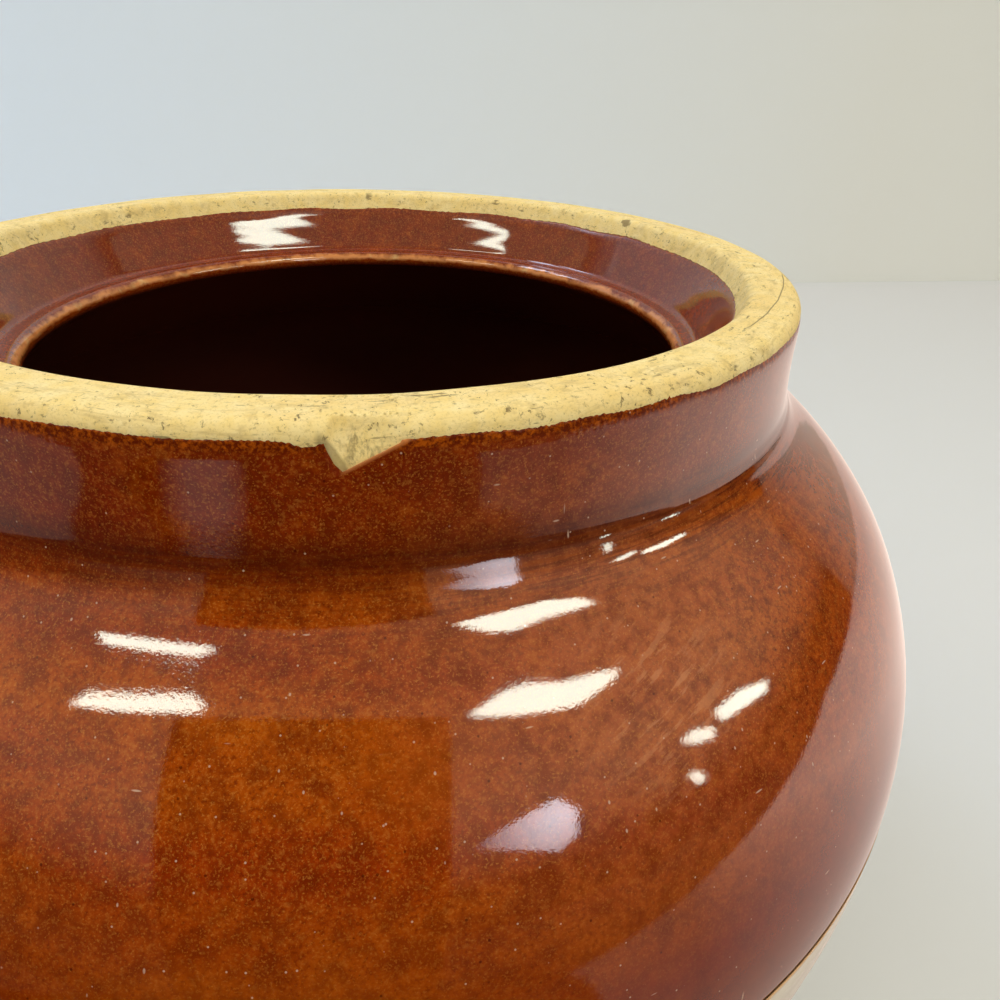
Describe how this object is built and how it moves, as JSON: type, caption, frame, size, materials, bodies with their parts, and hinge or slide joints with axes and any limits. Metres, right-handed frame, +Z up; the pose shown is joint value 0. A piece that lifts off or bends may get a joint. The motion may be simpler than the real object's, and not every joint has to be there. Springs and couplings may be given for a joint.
{
  "type": "stoneware bean pot",
  "caption": "Wide-bellied glazed stoneware bean pot with a short neck, a bare flat rim, an inner ledge for its lid, and a loose domed lid with a knob.",
  "frame": {"origin": "centre of the pot's flat base", "axes": "+Z up the pot's axis out of its mouth, -X towards the lid, -Y the front with the chipped rim"},
  "size_m": [0.3329, 0.1994, 0.16],
  "materials": {
    "bare_clay": "matt buff stoneware with dark iron specks",
    "brown_glaze": "glossy orange-brown glaze",
    "clear_glaze": "glossy clear glaze over buff clay"
  },
  "bodies": {
    "pot": {"pot_body": "bare_clay", "pot_brown_glaze": "brown_glaze", "pot_clear_glaze": "clear_glaze", "pot_lining_glaze": "brown_glaze"},
    "lid": {"lid_body": "bare_clay", "lid_knob": "bare_clay", "lid_top_glaze": "brown_glaze", "lid_lining_glaze": "brown_glaze"}
  },
  "joints": [
    {"name": "lid_lift", "type": "slide", "parent": "pot", "child": "lid", "axis": [0, 0, 1], "range_m": [0, 0.2]}
  ]
}
